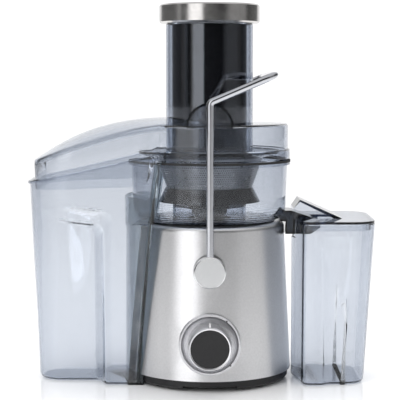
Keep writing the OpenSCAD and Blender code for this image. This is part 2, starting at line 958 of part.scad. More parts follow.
// The whole bin as a solid, set in by a wall
module bin_form(inset) {
  floor_z = bin_low + (inset > 0 ? inset : 0);
  difference() {
    union() {
      difference() {
        hull() {
          bin_slice(floor_z, bin_end - bin_lean, bin_half_low, bin_corner_floor, inset);
          bin_slice(bin_form_top, bin_end + 0.3, bin_half_high + 1, bin_corner_high, inset);
        }
        translate([-bin_end - 40, -100, -10])
          cube([bin_end + 40 + grip_x + max(inset, 0), 200, grip_top + 10 + max(inset, 0)]);
      }
      hull() {
        bin_slice(floor_z, bin_end - bin_lean, grip_half_low, bin_corner_low, inset);
        bin_slice(grip_top + 4, bin_end - 1.6, grip_half_high, bin_corner_high - 8, inset);
      }
    }
    translate([0, 0, -1]) cylinder(r = hug_r + max(inset, 0), h = 300);
  }
}

// A slab under the sloping plane of the rim: from drop below it, this thick
module rim_slab(drop, thick) {
  translate([-bin_end, 0, bin_rim_far]) rotate([0, -rim_slope, 0])
    translate([-60, -120, -drop]) cube([320, 240, thick]);
}

// The gap where the bin meets the bowl, below the lid's hood, and the lower
// rim beside it, which leaves room for the lid's flange
module hood_gap(low) {
  half_low = bin_wide(low) - bin_wall;
  half_top = bin_wide(lid_top) - bin_wall;
  translate([-hug_r - 14, 0, 0]) rotate([90, 0, 90])
    linear_extrude(70)
      polygon([[-half_low, low], [half_low, low], [half_top, lid_top], [-half_top, lid_top]]);
  translate([-bin_side_end - 15, -100, lid_low - 1]) cube([60, 200, 60]);
}

module pulp_bin() {
  color([0.72, 0.77, 0.82, 0.4])
    difference() {
      union() {
        bin_form(0);
        // lip round the rim
        intersection() {
          bin_form(-lip_out);
          rim_slab(lip_t, lip_t);
        }
      }
      bin_form(bin_wall);
      rim_slab(0, 160);
      hood_gap(bin_inner_h);
    }
}

// ---------------------------------------------------------------- juice jug

module jug_slice(z, lean, half, inset) {
  far = jug_far - lean;
  for (side = [-1, 1]) {
    translate([jug_near + 17, side * (half - 9), z]) cylinder(r = 9 - inset, h = 0.02, $fn = hull_fn);
    translate([far - 26, side * (half - 26), z]) cylinder(r = 26 - inset, h = 0.02, $fn = hull_fn);
  }
  translate([jug_near + 24, 0, z]) cylinder(r = 24 - inset, h = 0.02, $fn = hull_fn);
}

// The hand hold: everything past a round-cornered line, below its top
module jug_grip_cut(inset) {
  corner = 22;
  x = jug_grip_x - inset;
  z = jug_grip_top + inset;
  translate([x, -100, -10]) cube([100, 200, z - corner + 10]);
  translate([x + corner, -100, -10]) cube([100, 200, z + 10]);
  translate([x + corner, 0, 0]) rod_y(corner, -100, 100, z - corner);
}

// The whole jug as a solid, set in by a wall
module jug_form(inset, top) {
  floor_z = jug_low + inset;
  difference() {
    hull() {
      jug_slice(floor_z, jug_lean, jug_half_low, inset);
      jug_slice(top, 0, jug_half_high, inset);
    }
    jug_grip_cut(inset);
  }
  hull() {
    jug_slice(floor_z, jug_lean, jug_half_low - jug_grip_in, inset);
    jug_slice(jug_grip_top + 6, 2, jug_half_high - jug_grip_in, inset);
  }
}

module juice_jug() {
  color([0.72, 0.77, 0.82, 0.4])
    difference() {
      jug_form(0, jug_h);
      jug_form(jug_wall, jug_h + 1);
      // way in for the spout
      translate([jug_near - 10, -notch_half, notch_low]) cube([40, 2 * notch_half, 60]);
    }
}

// A flat plate with the outline of the jug's rim
module jug_plate(low, thick, inset) {
  translate([0, 0, low])
    linear_extrude(thick)
      hull() {
        for (side = [-1, 1]) {
          translate([jug_near + 17, side * (jug_half_high - 9)]) circle(r = 9 - inset, $fn = hull_fn);
          translate([jug_far - 26, side * (jug_half_high - 26)]) circle(r = 26 - inset, $fn = hull_fn);
        }
        translate([jug_near + 24, 0]) circle(r = 24 - inset, $fn = hull_fn);
      }
}

// Side view of the spout's cover, as x and z, set in by a wall
module cover_side(inset) {
  lid_z = jug_h + loose + jug_lid_t;
  near = jug_near + loose;
  far = near + cover_len - 3 * inset;
  foot = lid_z - 1 - 3 * inset;
  polygon([
    [near - inset, foot],
    [near - inset, lid_z + cover_h - 10 - inset],
    [near + 7, lid_z + cover_h - 1.3 * inset],
    [far, lid_z - inset],
    [far, foot]
  ]);
}

module jug_lid() {
  low = jug_h + loose;
  inside = cover_half - cover_wall;
  color([0.8, 0.83, 0.86, 0.5])
    difference() {
      union() {
        jug_plate(low, jug_lid_t, 0.3);
        // skirt inside the jug
        difference() {
          jug_plate(low - 7, 8, jug_wall + loose + 1.2);
          jug_plate(low - 8, 8, jug_wall + loose + 3);
        }
        rotate([90, 0, 0]) translate([0, 0, -cover_half]) linear_extrude(2 * cover_half) cover_side(0);
      }
      rotate([90, 0, 0]) translate([0, 0, -inside]) linear_extrude(2 * inside) cover_side(cover_wall);
      translate([jug_near - 10, -inside, low - 20]) cube([cover_len - 2, 2 * inside, 20 + jug_lid_t - 0.8]);
    }
}

base_housing();
plinth();
bottom_cover();
feet();
top_deck();
deck_gasket();
shaft_seal();
motor_top_bracket();
motor_bottom_bracket();
stator_core();
field_coils();
brush_holders();
carbon_brushes();
upper_bearing();
lower_bearing();
motor_mounts();
bracket_screws();
cover_screws();
speed_switch();
safety_switch();
cable_gland();
dial_dish();
dial_marks();
pivot_pins();
filter_bowl();
bowl_seal();
juice_spout();
motor_shaft();
armature_core();
armature_windings();
commutator();
cooling_fan();
drive_coupling();
basket_hub();
filter_mesh();
basket_rim();
grater_disc();
arm_leg_front();
arm_leg_rear();
arm_grip_bar();
pivot_hub_front();
pivot_hub_rear();
lid_cover();
feed_chute();
pusher_body();
pusher_cap();
dial_knob();
dial_face();
dial_pointer();
dial_shaft();
pulp_bin();
juice_jug();
jug_lid();
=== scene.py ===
"""Looks of a centrifugal juicer: satin steel base, clear smoky plastic, chrome arm, capped pusher."""
import json
import math

import bmesh
import bpy
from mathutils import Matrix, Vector


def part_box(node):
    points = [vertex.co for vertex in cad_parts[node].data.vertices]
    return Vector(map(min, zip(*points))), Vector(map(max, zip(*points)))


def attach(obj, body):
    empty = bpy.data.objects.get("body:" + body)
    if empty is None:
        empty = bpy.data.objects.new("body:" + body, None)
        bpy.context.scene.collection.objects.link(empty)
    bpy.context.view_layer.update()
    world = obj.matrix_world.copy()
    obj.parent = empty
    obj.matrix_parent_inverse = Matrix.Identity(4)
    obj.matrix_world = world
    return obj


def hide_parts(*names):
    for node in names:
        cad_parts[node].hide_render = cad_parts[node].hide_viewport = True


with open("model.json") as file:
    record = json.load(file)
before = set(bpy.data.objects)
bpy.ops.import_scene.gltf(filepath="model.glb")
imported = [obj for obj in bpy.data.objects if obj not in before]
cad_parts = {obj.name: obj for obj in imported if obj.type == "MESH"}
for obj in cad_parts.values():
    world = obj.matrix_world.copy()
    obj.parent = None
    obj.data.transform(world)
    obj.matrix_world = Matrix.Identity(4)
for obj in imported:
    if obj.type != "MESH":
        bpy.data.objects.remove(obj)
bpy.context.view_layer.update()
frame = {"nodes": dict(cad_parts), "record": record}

bl_info = {
    "name": "Centrifugal juicer",
    "version": (1, 0, 0),
    "blender": (4, 5, 0),
    "location": "3D View > Sidebar > Juicer",
    "description": "Finishes and fine pieces of a centrifugal juicer, round its CAD frame",
    "category": "Object",
}

MM = 0.001


def corners(node):
    """The low and high corner of a CAD node's box, in millimetres."""
    return [[value / MM for value in corner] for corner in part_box(node)]


# Places and sizes in millimetres. Those that a CAD node gives are read from the frame.
# x runs to the right, y to the rear and z up from the floor, and the motor axis is x = y = 0.
WALL = 2.2
EDGE = 0.6

# Pulp bin, on the left. Its near side curves round the motor base at HUG_R.
BIN_FLOOR = corners("pulp_bin")[0][2]
BIN_END = 190.5
BIN_FORM_TOP = 256.5
BIN_FAR_RIM = 215.0
BIN_NEAR_RIM = 246.5
GRIP_TOP = 171.0
HUG_R = 88.7
HUG_STOPS = (0, .12, .24, .36, .48, .6, .7, .8, .88, .9, .91, .92, .93, .94, .96, .98, 1.0)

# Lid, its saddles, and the hood that reaches left over the bin
LID_LOW = 236.5
LID_TOP = 274.5
LID_R = 84.2
LID_FLANGE = 11.0
LID_BEND = 3.5
RIM_R = 86.6
CHUTE_R = corners("feed_chute")[1][0]
SADDLE_R = 24.0
HOOD_INSIDE = 5.0
HOOD_LOW = corners("lid_cover")[0][2]
HOOD_END = -corners("lid_cover")[0][0]
HOOD_NARROWS = 60.0
HOOD_NEAR_HALF = 52.0
HOOD_BEND = 5.0
HOOD_STOPS = (0, 1, 3, 6, 9, 13, 18, 24, 30, 36, 43, 50, 58, 66, 75, 85, 95, 106, 117, 128)

# Locking arm: two legs up from the hubs, a bend, and a flat bar at the tip
HUB_Z = 126.0
LEG_Y = 91.4
ROD_R = 3.8
BEND_Z = 298.0
BEND_LEN = 75.5
BAR_WIDE = 13.5
ARM_RISE = math.radians(23)

# Juice jug, on the right, with a notch in its rim for the spout
JUG_NEAR = corners("juice_jug")[0][0]
JUG_FAR = corners("juice_jug")[1][0]
JUG_RIM = corners("juice_jug")[1][2]
JUG_NOTCH_HALF = 19.5
JUG_NOTCH_LOW = 153.5
JUG_NOTCH_STOPS = (8, 13, 17, 19.3, 20, 20.7, 21.5, 27, 36, 45)

CLEAR_TINT = (0.985, 0.99, 0.995)
# painted shade: a darker tint for the bin wall that curves round the motor base
HUG_SHADE_TINT = (0.58, 0.64, 0.67)


# ------------------------------------------------------------------ settings

class JuicerFinish(bpy.types.PropertyGroup):
    """Colours and finishes that a user would change."""

    steel: bpy.props.FloatVectorProperty(
        name="Steel", description="Tone of the satin steel base", subtype="COLOR", size=3,
        min=0, max=1, default=(0.78, 0.78, 0.79))
    steel_roughness: bpy.props.FloatProperty(
        name="Steel roughness", description="How soft the base's highlights are", subtype="FACTOR",
        min=0.05, max=0.8, default=0.30)
    smoke: bpy.props.FloatVectorProperty(
        name="Smoke", description="Colour that thick clear plastic takes on", subtype="COLOR", size=3,
        min=0, max=1, default=(0.11, 0.21, 0.37))
    smoke_density: bpy.props.FloatProperty(
        name="Smoke density", description="How fast clear plastic darkens with its thickness, per metre",
        min=0, max=400, default=125.0)
    cap: bpy.props.FloatVectorProperty(
        name="Cap", description="Tone of the pusher's brushed cap", subtype="COLOR", size=3,
        min=0, max=1, default=(0.64, 0.625, 0.61))
    gloss_black: bpy.props.FloatVectorProperty(
        name="Gloss black", description="Colour of the pusher and the dial's face", subtype="COLOR", size=3,
        min=0, max=1, default=(0.006, 0.006, 0.007))


class JuicerStudio(bpy.types.PropertyGroup):
    """Where the camera stands and how bright the studio is."""

    distance: bpy.props.FloatProperty(
        name="Distance", description="From the camera to the motor axis", subtype="DISTANCE", unit="LENGTH",
        min=0.8, max=4.0, default=1.4676)
    height: bpy.props.FloatProperty(
        name="Height", description="Camera's height above the floor", subtype="DISTANCE", unit="LENGTH",
        min=0.0, max=2.0, default=0.3225)
    aside: bpy.props.FloatProperty(
        name="Aside", description="Camera's place to the right of the motor axis", subtype="DISTANCE",
        unit="LENGTH", min=-1.0, max=1.0, default=-0.0101)
    pitch: bpy.props.FloatProperty(
        name="Pitch", description="How far the camera looks down", subtype="ANGLE", unit="ROTATION",
        min=-1.0, max=1.5, default=math.radians(5.09))
    lens: bpy.props.FloatProperty(
        name="Lens", description="Focal length on a 36 mm wide film, in millimetres", unit="CAMERA",
        min=20, max=300, default=123.07)
    ambient: bpy.props.FloatProperty(
        name="Ambient", description="Brightness of the white room", min=0, max=4, default=1.15)


def finish_settings():
    return bpy.context.scene.juicer_finish


def studio_settings():
    return bpy.context.scene.juicer_studio


# ------------------------------------------------------------------ node helpers

def link(tree, source, target):
    tree.links.new(source, target)


def math_node(tree, operation, first, second=None):
    """A Math node; its inputs are sockets or plain numbers."""
    node = tree.nodes.new("ShaderNodeMath")
    node.operation = operation
    for socket, value in zip(node.inputs, (first, second)):
        if value is None:
            continue
        if isinstance(value, (int, float)):
            socket.default_value = value
        else:
            link(tree, value, socket)
    return node.outputs[0]


def distance(tree, across, along):
    """How far a place is from the middle, from its two measures."""
    square = math_node(tree, "ADD", math_node(tree, "MULTIPLY", across, across),
                       math_node(tree, "MULTIPLY", along, along))
    return math_node(tree, "SQRT", square)


def new_group(name, inputs, outputs):
    """A node group with its sockets. Inputs are (name, default), outputs (name, socket type)."""
    group = bpy.data.node_groups.new(name, "ShaderNodeTree")
    for label, default in inputs:
        socket = group.interface.new_socket(label, in_out="INPUT", socket_type="NodeSocketFloat")
        socket.default_value = default
    for label, kind in outputs:
        group.interface.new_socket(label, in_out="OUTPUT", socket_type=kind)
    return group, group.nodes.new("NodeGroupInput"), group.nodes.new("NodeGroupOutput")


def grain_group():
    """A value that wanders between two limits over the surface."""
    name = "Grain"
    if name in bpy.data.node_groups:
        return bpy.data.node_groups[name]
    group, given, out = new_group(
        name, [("Scale", 200.0), ("Low", 0.2), ("High", 0.3)], [("Value", "NodeSocketFloat")])
    place = group.nodes.new("ShaderNodeTexCoord")
    noise = group.nodes.new("ShaderNodeTexNoise")
    noise.inputs["Detail"].default_value = 3.0
    spread = group.nodes.new("ShaderNodeMapRange")
    spread.inputs["From Min"].default_value = 0.3
    spread.inputs["From Max"].default_value = 0.7
    link(group, place.outputs["Object"], noise.inputs["Vector"])
    link(group, given.outputs["Scale"], noise.inputs["Scale"])
    link(group, noise.outputs["Fac"], spread.inputs["Value"])
    link(group, given.outputs["Low"], spread.inputs["To Min"])
    link(group, given.outputs["High"], spread.inputs["To Max"])
    link(group, spread.outputs["Result"], out.inputs["Value"])
    return group


def brush_group():
    """Fine level lines that brushing leaves round the axis."""
    name = "Brushing"
    if name in bpy.data.node_groups:
        return bpy.data.node_groups[name]
    group, given, out = new_group(
        name, [("Across", 1500.0), ("Along", 8.0)], [("Height", "NodeSocketFloat")])
    place = group.nodes.new("ShaderNodeTexCoord")
    split = group.nodes.new("ShaderNodeSeparateXYZ")
    link(group, place.outputs["Object"], split.inputs[0])
    joined = group.nodes.new("ShaderNodeCombineXYZ")
    for axis, spacing in (("X", "Along"), ("Y", "Along"), ("Z", "Across")):
        stretched = math_node(group, "MULTIPLY", split.outputs[axis], given.outputs[spacing])
        link(group, stretched, joined.inputs[axis])
    noise = group.nodes.new("ShaderNodeTexNoise")
    noise.inputs["Scale"].default_value = 1.0
    noise.inputs["Detail"].default_value = 2.0
    link(group, joined.outputs[0], noise.inputs["Vector"])
    link(group, noise.outputs["Fac"], out.inputs["Height"])
    return group


def perforation_group():
    """1 on the metal and 0 in the holes of a sheet of staggered round holes, wrapped round the axis."""
    name = "Perforation"
    if name in bpy.data.node_groups:
        return bpy.data.node_groups[name]
    group, given, out = new_group(
        name, [("Columns", 120.0), ("Rows", 400.0), ("Hole", 0.34)], [("Mask", "NodeSocketFloat")])
    place = group.nodes.new("ShaderNodeTexCoord")
    split = group.nodes.new("ShaderNodeSeparateXYZ")
    link(group, place.outputs["Object"], split.inputs[0])
    angle = math_node(group, "ARCTAN2", split.outputs["Y"], split.outputs["X"])
    share = math_node(group, "DIVIDE", angle, 2 * math.pi)
    columns = math_node(group, "MULTIPLY", share, given.outputs["Columns"])
    rows = math_node(group, "MULTIPLY", split.outputs["Z"], given.outputs["Rows"])
    stagger = math_node(group, "MULTIPLY", math_node(group, "FLOOR", rows), 0.5)
    column = math_node(group, "FRACT", math_node(group, "ADD", columns, stagger))
    across = math_node(group, "SUBTRACT", column, 0.5)
    along = math_node(group, "SUBTRACT", math_node(group, "FRACT", rows), 0.5)
    away = distance(group, across, along)
    link(group, math_node(group, "GREATER_THAN", away, given.outputs["Hole"]), out.inputs["Mask"])
    return group


def near_axis_group():
    """1 within a distance of the motor axis and 0 outside it."""
    name = "Near the axis"
    if name in bpy.data.node_groups:
        return bpy.data.node_groups[name]
    group, given, out = new_group(name, [("Distance", 0.09)], [("Mask", "NodeSocketFloat")])
    place = group.nodes.new("ShaderNodeTexCoord")
    split = group.nodes.new("ShaderNodeSeparateXYZ")
    link(group, place.outputs["Object"], split.inputs[0])
    away = distance(group, split.outputs["X"], split.outputs["Y"])
    link(group, math_node(group, "LESS_THAN", away, given.outputs["Distance"]), out.inputs["Mask"])
    return group


def place_group(tree, group, **values):
    node = tree.nodes.new("ShaderNodeGroup")
    node.node_tree = group
    for label, value in values.items():
        node.inputs[label].default_value = value
    return node.outputs[0]


def add_bump(tree, shader, height, distance, strength=0.3):
    bump = tree.nodes.new("ShaderNodeBump")
    bump.inputs["Distance"].default_value = distance
    bump.inputs["Strength"].default_value = strength
    link(tree, height, bump.inputs["Height"])
    link(tree, bump.outputs["Normal"], shader.inputs["Normal"])


def varied_colour(tree, shader, first, second, mask):
    """Mixes two near tones over the surface into the base colour."""
    mix = tree.nodes.new("ShaderNodeMix")
    mix.data_type = "RGBA"
    mix.inputs["A"].default_value = (*first, 1)
    mix.inputs["B"].default_value = (*second, 1)
    link(tree, mask, mix.inputs["Factor"])
    link(tree, mix.outputs["Result"], shader.inputs["Base Color"])


def new_material(name):
    """A material with one Principled shader; returns material, tree and shader."""
    material = bpy.data.materials.new(name)
    material.use_nodes = True
    tree = material.node_tree
    return material, tree, tree.nodes["Principled BSDF"]


def scaled(colour, share):
    return tuple(channel * share for channel in colour)


# ------------------------------------------------------------------ materials

def metal(name, colour, roughness, spread=0.06, brush=None, brush_depth=0.00002, grain_scale=300.0):
    """Metal with wandering roughness and, where asked, brushed lines."""
    material, tree, shader = new_material(name)
    shader.inputs["Metallic"].default_value = 1.0
    mask = place_group(tree, grain_group(), Scale=grain_scale, Low=0.0, High=1.0)
    varied_colour(tree, shader, colour, scaled(colour, 0.93), mask)
    rough = place_group(tree, grain_group(), Scale=grain_scale * 0.4, Low=roughness - spread / 2,
                        High=roughness + spread / 2)
    link(tree, rough, shader.inputs["Roughness"])
    if brush:
        add_bump(tree, shader, place_group(tree, brush_group(), **brush), brush_depth)
    return material


def plastic(name, colour, roughness, grain_scale=900.0, depth=0.00003, coat=0.0):
    """Moulded plastic or rubber with a fine texture."""
    material, tree, shader = new_material(name)
    mask = place_group(tree, grain_group(), Scale=grain_scale, Low=0.0, High=1.0)
    varied_colour(tree, shader, colour, scaled(colour, 0.85), mask)
    rough = place_group(tree, grain_group(), Scale=grain_scale * 0.3, Low=roughness * 0.9,
                        High=roughness * 1.15)
    link(tree, rough, shader.inputs["Roughness"])
    shader.inputs["Coat Weight"].default_value = coat
    shader.inputs["Coat Roughness"].default_value = 0.03
    shader.inputs["Coat IOR"].default_value = 1.9
    if depth:
        add_bump(tree, shader, mask, depth)
    return material


def clear_plastic(name, tint, smoke, density, roughness=0.02, ripple=0.00002, near=0.0):
    """Clear plastic that darkens where it is thick and lets the lamps through. A near distance
    paints shade on the wall that curves round the motor base, as a darker tint within that distance of the
    axis."""
    material, tree, shader = new_material(name)
    shader.inputs["Base Color"].default_value = (*tint, 1)
    if near:
        # painted shade: the wall within the near distance of the axis takes the darker shade tint
        varied_colour(tree, shader, tint, HUG_SHADE_TINT, place_group(tree, near_axis_group(), Distance=near))
    shader.inputs["Transmission Weight"].default_value = 1.0
    shader.inputs["IOR"].default_value = 1.49
    rough = place_group(tree, grain_group(), Scale=60.0, Low=roughness * 0.5, High=roughness * 1.5)
    link(tree, rough, shader.inputs["Roughness"])
    wave = place_group(tree, grain_group(), Scale=25.0, Low=0.0, High=1.0)
    add_bump(tree, shader, wave, ripple, 0.2)
    out = tree.nodes["Material Output"]
    lamps = tree.nodes.new("ShaderNodeLightPath")
    open_way = tree.nodes.new("ShaderNodeBsdfTransparent")
    open_way.inputs["Color"].default_value = (*scaled(tint, 0.93), 1)
    mix = tree.nodes.new("ShaderNodeMixShader")
    link(tree, lamps.outputs["Is Shadow Ray"], mix.inputs["Fac"])
    link(tree, shader.outputs[0], mix.inputs[1])
    link(tree, open_way.outputs[0], mix.inputs[2])
    link(tree, mix.outputs[0], out.inputs["Surface"])
    absorb = tree.nodes.new("ShaderNodeVolumeAbsorption")
    absorb.inputs["Color"].default_value = (*smoke, 1)
    absorb.inputs["Density"].default_value = density
    link(tree, absorb.outputs[0], out.inputs["Volume"])
    return material


def perforated_steel(name):
    """Stainless sheet with staggered holes."""
    material, tree, shader = new_material(name)
    shader.inputs["Metallic"].default_value = 1.0
    mask = place_group(tree, grain_group(), Scale=400.0, Low=0.0, High=1.0)
    varied_colour(tree, shader, (0.30, 0.31, 0.33), (0.24, 0.25, 0.27), mask)
    rough = place_group(tree, grain_group(), Scale=200.0, Low=0.25, High=0.38)
    link(tree, rough, shader.inputs["Roughness"])
    holes = place_group(tree, perforation_group(), Columns=150.0, Rows=430.0, Hole=0.3)
    link(tree, holes, shader.inputs["Alpha"])
    return material


def build_materials():
    """One material for each slot of the record, by the slot's name."""
    look = finish_settings()
    steel = tuple(look.steel)
    smoke, density = tuple(look.smoke), look.smoke_density
    gloss = tuple(look.gloss_black)
    return {
        "satin_steel": metal("Satin steel", steel, look.steel_roughness, 0.05,
                             dict(Across=900.0, Along=10.0), 0.00001, 500.0),
        "brushed_cap": metal("Brushed cap", tuple(look.cap), 0.2, 0.06,
                             dict(Across=1400.0, Along=6.0), 0.00002),
        "chrome": metal("Chrome", (0.56, 0.57, 0.60), 0.06, 0.02),
        "satin_chrome": metal("Satin chrome", (0.80, 0.81, 0.82), 0.24, 0.06),
        "silver_plastic": metal("Satin silver", (0.80, 0.80, 0.82), 0.36, 0.04),
        "bearing_steel": metal("Bearing steel", (0.62, 0.63, 0.65), 0.25, 0.1),
        "cast_aluminium": metal("Cast aluminium", (0.58, 0.59, 0.60), 0.5, 0.15, grain_scale=700.0),
        "lamination_steel": metal("Laminations", (0.26, 0.26, 0.27), 0.45, 0.1,
                                  dict(Across=2600.0, Along=4.0), 0.00005),
        "copper": metal("Enamelled copper", (0.62, 0.29, 0.12), 0.3, 0.1,
                        dict(Across=2200.0, Along=10.0), 0.00008),
        "brass": metal("Brass", (0.72, 0.52, 0.22), 0.32, 0.1),
        "mesh_steel": metal("Grater steel", (0.45, 0.46, 0.47), 0.28, 0.08),
        "black_plastic": plastic("Black plastic", (0.006, 0.006, 0.007), 0.42),
        "rubber": plastic("Rubber", (0.018, 0.018, 0.018), 0.75, 1400.0, 0.00005),
        "carbon": plastic("Carbon", (0.03, 0.03, 0.03), 0.6, 1600.0),
        "print_black": plastic("Black print", (0.02, 0.02, 0.02), 0.45, depth=0.0),
        "print_white": plastic("White print", (0.85, 0.85, 0.85), 0.4, depth=0.0),
        "black_gloss": plastic("Gloss black", gloss, 0.06, 300.0, 0.0, coat=1.0),
        "clear_smoke": clear_plastic("Clear smoke", CLEAR_TINT, smoke, density),
        "dark_smoke": clear_plastic("Dark smoke", (0.35, 0.38, 0.42), scaled(smoke, 0.4), 4 * density),
        "grey_clear": clear_plastic("Grey clear", (0.80, 0.82, 0.84), scaled(smoke, 0.8), 2 * density, 0.08),
    }


MATERIALS = {}


def stand_in(piece, nodes, body, slot):
    """Puts a finished piece in the stead of CAD nodes."""
    dress(piece, MATERIALS[slot])
    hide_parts(*nodes)
    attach(piece, body)


def dress(piece, material):
    """Gives a piece one material in all its slots."""
    if not piece.data.materials:
        piece.data.materials.append(material)
    for slot in piece.material_slots:
        slot.material = material


# ------------------------------------------------------------------ studio

def camera():
    setting = studio_settings()
    data = bpy.data.cameras.new("Studio camera")
    data.lens = setting.lens
    data.sensor_width = 36.0
    seen = bpy.data.objects.new("Studio camera", data)
    bpy.context.scene.collection.objects.link(seen)
    seen.location = (setting.aside, -setting.distance, setting.height)
    seen.rotation_euler = (math.pi / 2 - setting.pitch, 0, 0)
    bpy.context.scene.camera = seen


def studio_floor():
    """A pale, slightly glossy floor with no edge in view."""
    bpy.ops.object.select_all(action="DESELECT")
    bpy.ops.mesh.primitive_circle_add(vertices=96, radius=14.0, fill_type="NGON", location=(0, 0, 0))
    floor = bpy.context.object
    floor.name = "studio_floor"
    material, tree, shader = new_material("Pale floor")
    mask = place_group(tree, grain_group(), Scale=3.0, Low=0.0, High=1.0)
    varied_colour(tree, shader, (0.93, 0.93, 0.935), (0.92, 0.92, 0.925), mask)
    shader.inputs["Roughness"].default_value = 0.14
    shader.inputs["Specular IOR Level"].default_value = 0.6
    dress(floor, material)


# Direction round the room as a share of a turn (0 behind, 0.5 at the front, more to the right)
# against brightness: what polished pieces mirror
ROOM_BANDS = [
    (0.000, 1.0), (0.090, 1.0), (0.110, 0.16), (0.270, 0.08), (0.290, 0.34), (0.306, 0.34),
    (0.318, 0.03), (0.355, 0.05), (0.372, 1.6), (0.448, 1.6), (0.462, 0.04), (0.600, 0.02),
    (0.640, 0.26), (0.745, 0.24), (0.765, 0.04), (0.885, 0.16), (0.905, 1.0), (1.000, 1.0),
]


def studio_room():
    """A white room whose mirrored image has dark and bright bands, as softboxes and flags give."""
    world = bpy.data.worlds.new("Studio room")
    bpy.context.scene.world = world
    world.use_nodes = True
    tree = world.node_tree
    tree.nodes.clear()
    place = tree.nodes.new("ShaderNodeTexCoord")
    split = tree.nodes.new("ShaderNodeSeparateXYZ")
    link(tree, place.outputs["Generated"], split.inputs[0])
    back = math_node(tree, "MULTIPLY", split.outputs["Y"], -1.0)
    turn = math_node(tree, "ARCTAN2", split.outputs["X"], back)
    share = math_node(tree, "ADD", math_node(tree, "DIVIDE", turn, 2 * math.pi), 0.5)
    ramp = tree.nodes.new("ShaderNodeValToRGB")
    link(tree, share, ramp.inputs["Fac"])
    stops = ramp.color_ramp.elements
    for _ in ROOM_BANDS[2:]:
        stops.new(0.5)
    for stop, (at, value) in zip(stops, ROOM_BANDS):
        stop.position = at
        stop.color = (value, value, value * 1.01, 1)
    # overhead is a soft bright ceiling
    rise = tree.nodes.new("ShaderNodeMapRange")
    rise.inputs["From Min"].default_value = 0.45
    rise.inputs["From Max"].default_value = 0.8
    link(tree, split.outputs["Z"], rise.inputs["Value"])
    walls = tree.nodes.new("ShaderNodeMix")
    walls.data_type = "RGBA"
    link(tree, rise.outputs["Result"], walls.inputs["Factor"])
    link(tree, ramp.outputs["Color"], walls.inputs["A"])
    walls.inputs["B"].default_value = (0.75, 0.75, 0.76, 1)
    mirrored = tree.nodes.new("ShaderNodeBackground")
    link(tree, walls.outputs["Result"], mirrored.inputs["Color"])
    white = tree.nodes.new("ShaderNodeBackground")
    white.inputs["Color"].default_value = (1, 1, 1, 1)
    white.inputs["Strength"].default_value = studio_settings().ambient
    path = tree.nodes.new("ShaderNodeLightPath")
    mix = tree.nodes.new("ShaderNodeMixShader")
    link(tree, path.outputs["Is Glossy Ray"], mix.inputs["Fac"])
    link(tree, white.outputs[0], mix.inputs[1])
    link(tree, mirrored.outputs[0], mix.inputs[2])
    out = tree.nodes.new("ShaderNodeOutputWorld")
    link(tree, mix.outputs[0], out.inputs["Surface"])


def softbox(name, place, aim, size, power):
    """An area lamp at a place, turned towards a point."""
    data = bpy.data.lights.new(name, "AREA")
    data.shape = "RECTANGLE"
    data.size, data.size_y = size
    data.energy = power
    lamp = bpy.data.objects.new(name, data)
    bpy.context.scene.collection.objects.link(lamp)
    lamp.location = place
    lamp.visible_glossy = False
    away = [start - end for start, end in zip(place, aim)]
    flat = math.hypot(away[0], away[1])
    lamp.rotation_euler = (math.atan2(flat, away[2]), 0, math.atan2(away[0], -away[1]))


# ------------------------------------------------------------------ modelling helpers

def deselect_all():
    if bpy.context.mode != "OBJECT":
        bpy.ops.object.mode_set(mode="OBJECT")
    bpy.ops.object.select_all(action="DESELECT")


def smooth(share):
    """0 below 0, 1 above 1, and an S curve between them."""
    share = min(1.0, max(0.0, share))
    return share * share * (3 - 2 * share)


def between(first, second, share):
    return first + (second - first) * share


def next_ring(shape, ring):
    """The vertices just extruded, in the order of the ring that they came from."""
    place = {vertex: at for at, vertex in enumerate(ring)}
    fresh = [None] * len(ring)
    for vertex in shape.verts:
        if vertex.select:
            for edge in vertex.link_edges:
                at = place.get(edge.other_vert(vertex))
                if at is not None:
                    fresh[at] = vertex
    return fresh


def lay(ring, points):
    """Puts a ring's vertices on points given in millimetres."""
    for vertex, point in zip(ring, points):
        vertex.co = [value * MM for value in point]


def select_ring(shape, ring):
    bpy.ops.mesh.select_all(action="DESELECT")
    for vertex, following in zip(ring, ring[1:] + ring[:1]):
        shape.edges.get((vertex, following)).select = True


def loft(name, loops):
    """A closed solid skinned over outlines that all have as many points, in millimetres."""
    deselect_all()
    bpy.ops.mesh.primitive_circle_add(vertices=len(loops[0]), radius=0.01, fill_type="NOTHING",
                                      location=(0, 0, 0))
    piece = bpy.context.object
    piece.name = name
    bpy.ops.object.mode_set(mode="EDIT")
    shape = bmesh.from_edit_mesh(piece.data)
    shape.verts.ensure_lookup_table()
    first = ring = list(shape.verts)
    lay(ring, loops[0])
    for points in loops[1:]:
        select_ring(shape, ring)
        bpy.ops.mesh.extrude_edges_move()
        ring = next_ring(shape, ring)
        lay(ring, points)
    for end in (ring, first):
        select_ring(shape, end)
        bpy.ops.mesh.edge_face_add()
    bpy.ops.mesh.select_all(action="SELECT")
    bpy.ops.mesh.normals_make_consistent(inside=False)
    bpy.ops.object.mode_set(mode="OBJECT")
    bpy.ops.object.shade_smooth_by_angle(angle=math.radians(30))
    return piece


def inset(points, gap):
    """An outline moved inwards by a gap, or by one gap per point; each point keeps its height."""
    moved = []
    count = len(points)
    gaps = gap if isinstance(gap, list) else [gap] * count
    for at in range(count):
        here, before, after = points[at], points[at - 1], points[(at + 1) % count]
        first = unit(here[0] - before[0], here[1] - before[1])
        second = unit(after[0] - here[0], after[1] - here[1])
        spread = 1 + first[0] * second[0] + first[1] * second[1]
        push = gaps[at] / max(0.6, spread)
        moved.append([here[0] - push * (first[1] + second[1]),
                      here[1] + push * (first[0] + second[0]), here[2]])
    for _ in range(12):
        settle(moved, points)
    return [tuple(point) for point in moved]


